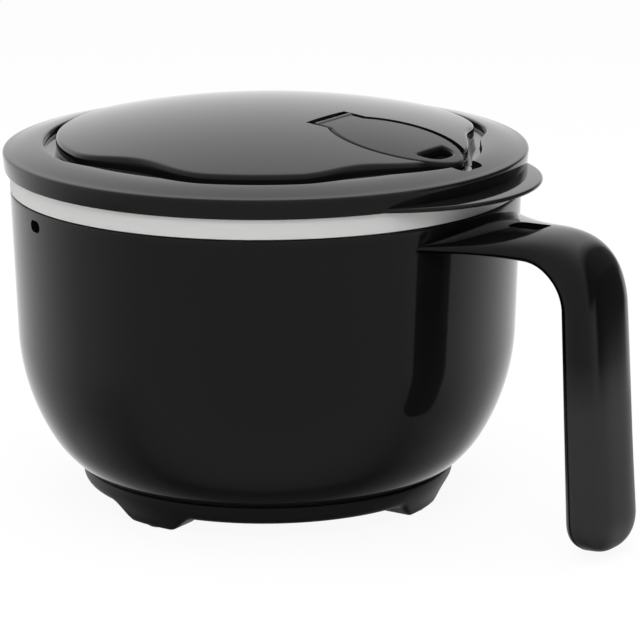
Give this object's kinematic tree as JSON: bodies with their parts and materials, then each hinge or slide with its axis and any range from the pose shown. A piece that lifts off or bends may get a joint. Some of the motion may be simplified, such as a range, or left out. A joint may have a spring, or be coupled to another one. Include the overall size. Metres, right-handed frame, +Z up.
{
  "type": "lidded soup bowl",
  "caption": "Round double-walled soup bowl with steel liner, L-shaped side handle, domed lid and flip-up vent flap.",
  "frame": {"origin": "the point on the table directly under the bowl's axis, level with the soles of the four foot pads", "axes": "+Z up along the bowl's axis, +X from the axis towards the handle"},
  "size_m": [0.2069, 0.1602, 0.1216],
  "materials": {
    "gloss_black": "high gloss black moulded plastic",
    "handle_black": "gloss black moulded plastic, slightly softer than the bowl",
    "lid_black": "high gloss black moulded plastic",
    "flap_black": "semi-gloss black moulded plastic",
    "matte_black": "matte black moulded plastic",
    "steel": "satin stainless steel, brushed round the rim",
    "screw_steel": "plain steel",
    "pad_rubber": "matte black rubber",
    "silicone": "translucent grey silicone"
  },
  "bodies": {
    "bowl": {"outer_shell": "gloss_black", "steel_liner": "steel", "base_cover": "matte_black", "foot_pad_1": "pad_rubber", "foot_pad_2": "pad_rubber", "foot_pad_3": "pad_rubber", "foot_pad_4": "pad_rubber", "base_screws": "screw_steel", "handle_shell": "handle_black", "handle_cover": "handle_black", "handle_screws": "screw_steel"},
    "lid": {"lid_body": "lid_black", "lid_dome": "lid_black", "lid_seal": "silicone", "flap_pin": "screw_steel"},
    "flap": {"vent_flap": "flap_black", "vent_stopper": "silicone"}
  },
  "joints": [
    {"name": "lid_lift", "type": "slide", "parent": "bowl", "child": "lid", "axis": [0, 0, 1], "range_m": [0, 0.06]},
    {"name": "flap_hinge", "type": "hinge", "parent": "lid", "child": "flap", "pos_m": [0.0246, 0, 0.1185], "axis": [0, -1, 0], "range_deg": [0, 95]}
  ]
}
